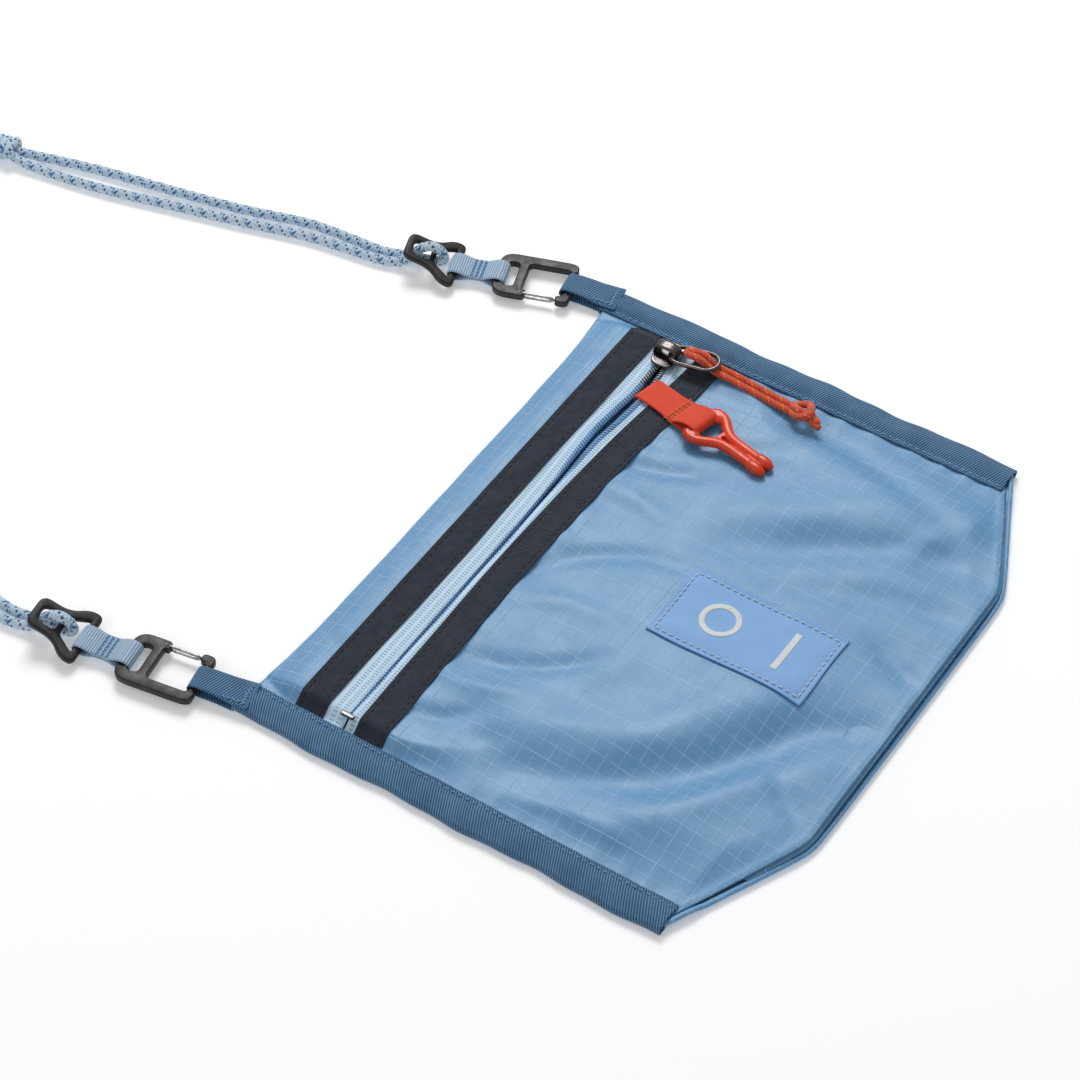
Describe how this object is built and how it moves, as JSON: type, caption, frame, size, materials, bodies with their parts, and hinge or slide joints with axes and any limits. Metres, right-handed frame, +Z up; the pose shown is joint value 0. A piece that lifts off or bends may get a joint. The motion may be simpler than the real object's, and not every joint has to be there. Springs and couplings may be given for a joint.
{
  "type": "neck pouch wallet",
  "caption": "Flat zipped fabric travel pouch with bound sides, a corded zip pull, an inner key clip, and a round neck cord joined by clip-on webbing ends and cord adjusters.",
  "frame": {"origin": "middle of the back panel's lower face, on the surface the pouch lies on", "axes": "+X along the zip towards the slider's end, +Y towards the neck cord, +Z up out of the front panel"},
  "size_m": [0.2488, 0.4277, 0.0134],
  "materials": {
    "ripstop": "fine ripstop weave",
    "binding": "diagonal twill tape",
    "strip": "fine twill with stitched edges",
    "tape": "woven zip tape",
    "coil": "moulded nylon coil sewn to the tape",
    "metal": "polished gunmetal",
    "cord_orange": "braided with flecks",
    "strap_orange": "fine ribbed webbing",
    "clip_orange": "glossy moulded",
    "black": "matte moulded",
    "label": "satin weave",
    "webbing": "ribbed webbing",
    "cord": "round braid with dark flecks"
  },
  "bodies": {
    "pouch": {"back_panel": "ripstop", "front_panel": "ripstop", "front_top_panel": "ripstop", "bottom_gusset": "ripstop", "left_binding": "binding", "right_binding": "binding", "front_label": "label", "key_strap": "strap_orange", "upper_zip_tape": "tape", "lower_zip_tape": "tape", "upper_zip_strip": "strip", "lower_zip_strip": "strip", "upper_zip_coil": "coil", "lower_zip_coil": "coil", "zip_end_stop": "metal", "left_cord_near_strand": "cord", "left_cord_far_strand": "cord", "left_cord_knot": "cord", "right_cord_near_strand": "cord", "right_cord_far_strand": "cord", "right_cord_knot": "cord", "neck_cord_left_run": "cord", "neck_cord_right_run": "cord", "neck_cord_coil": "cord"},
    "zip_slider": {"slider_body": "metal"},
    "zip_pull": {"pull_ring": "metal", "pull_cord": "cord_orange", "pull_cord_knot": "cord_orange"},
    "key_clip": {"key_clip_body": "clip_orange"},
    "key_clip_gate": {"key_clip_tongue": "clip_orange"},
    "left_strap_end": {"left_carabiner_frame": "black", "left_gate_pin": "metal", "left_webbing_loop": "webbing", "left_cord_adjuster": "black", "left_cord_bight": "cord"},
    "left_gate": {"left_gate_wire": "metal"},
    "right_strap_end": {"right_carabiner_frame": "black", "right_gate_pin": "metal", "right_webbing_loop": "webbing", "right_cord_adjuster": "black", "right_cord_bight": "cord"},
    "right_gate": {"right_gate_wire": "metal"}
  },
  "joints": [
    {"name": "zip_slide", "type": "slide", "parent": "pouch", "child": "zip_slider", "axis": [1, 0, 0], "range_m": [-0.186, 0], "deforming": ["pull_cord", "pull_cord_knot"]},
    {"name": "zip_pull_hinge", "type": "hinge", "parent": "zip_slider", "child": "zip_pull", "pos_m": [0.0937, 0.057, 0.0094], "axis": [-0.9903, -0.1392, 0], "range_deg": [0, 150]},
    {"name": "key_clip_hinge", "type": "hinge", "parent": "pouch", "child": "key_clip", "pos_m": [0.07053, 0.03022, 0.0088], "axis": [-0.9744, 0.225, 0], "range_deg": [0, 90]},
    {"name": "key_clip_gate_hinge", "type": "hinge", "parent": "key_clip", "child": "key_clip_gate", "pos_m": [0.06729, 0.01619, 0.0091], "axis": [-0.9744, 0.225, 0], "range_deg": [0, 8], "stiffness_Nm_per_rad": 0.02},
    {"name": "left_strap_end_hinge", "type": "hinge", "parent": "pouch", "child": "left_strap_end", "pos_m": [-0.11336, 0.10872, 0.003], "axis": [0.9877, 0.1564, 0], "range_deg": [0, 30]},
    {"name": "left_gate_hinge", "type": "hinge", "parent": "left_strap_end", "child": "left_gate", "pos_m": [-0.10755, 0.12635, 0.003], "axis": [0, 0, -1], "range_deg": [0, 25], "stiffness_Nm_per_rad": 0.02},
    {"name": "right_strap_end_hinge", "type": "hinge", "parent": "pouch", "child": "right_strap_end", "pos_m": [0.1079, 0.10877, 0.003], "axis": [0.9455, 0.3256, 0], "range_deg": [0, 30]},
    {"name": "right_gate_hinge", "type": "hinge", "parent": "right_strap_end", "child": "right_gate", "pos_m": [0.09449, 0.12161, 0.003], "axis": [0, 0, 1], "range_deg": [0, 25], "stiffness_Nm_per_rad": 0.02}
  ]
}
